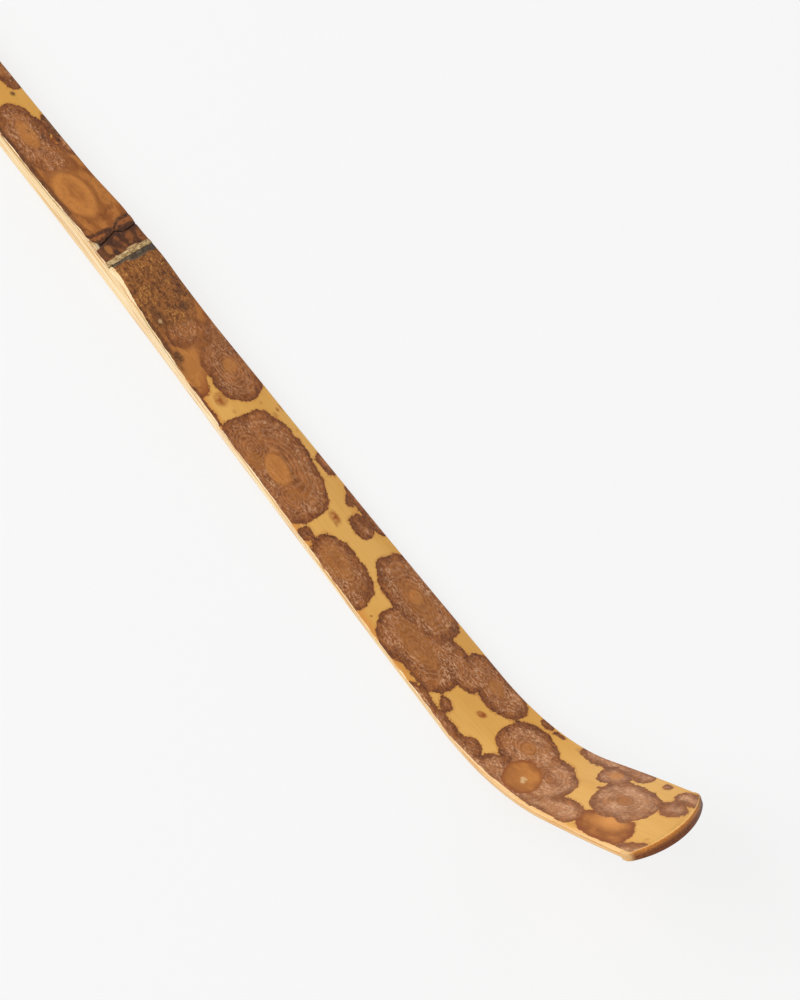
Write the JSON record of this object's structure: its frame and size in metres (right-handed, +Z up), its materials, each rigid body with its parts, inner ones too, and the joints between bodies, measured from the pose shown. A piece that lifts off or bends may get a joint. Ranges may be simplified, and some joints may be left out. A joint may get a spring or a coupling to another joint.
{
  "type": "tea scoop",
  "caption": "Slim bamboo tea scoop whittled from one spotted culm strip, with a node near its middle and an upturned narrow blade.",
  "frame": {"origin": "on the flat back's plane, midway along the scoop's length and width", "axes": "+X along the strip from the cut end of the grip to the tip of the blade, +Y across the strip, +Z up through the skin side, the way the blade turns up"},
  "size_m": [0.174, 0.0108, 0.02],
  "materials": {
    "pale_wood": "fine straight fibres, planed with a knife",
    "spotted_rind": "smooth satin yellow rind with large brown ringed spots",
    "node_rind": "dull red-brown, wrinkled",
    "scar": "dry torn fibres",
    "wax": "matt waxy bloom",
    "browned_edge": "smooth, browned by heat"
  },
  "bodies": {
    "root": {"grip_wood": "pale_wood", "node_wood": "pale_wood", "front_wood": "pale_wood", "grip_skin": "spotted_rind", "front_skin": "spotted_rind", "node_ridge": "node_rind", "node_valley": "node_rind", "sheath_scar": "scar", "wax_bloom": "wax", "browned_tip": "browned_edge"}
  },
  "joints": []
}
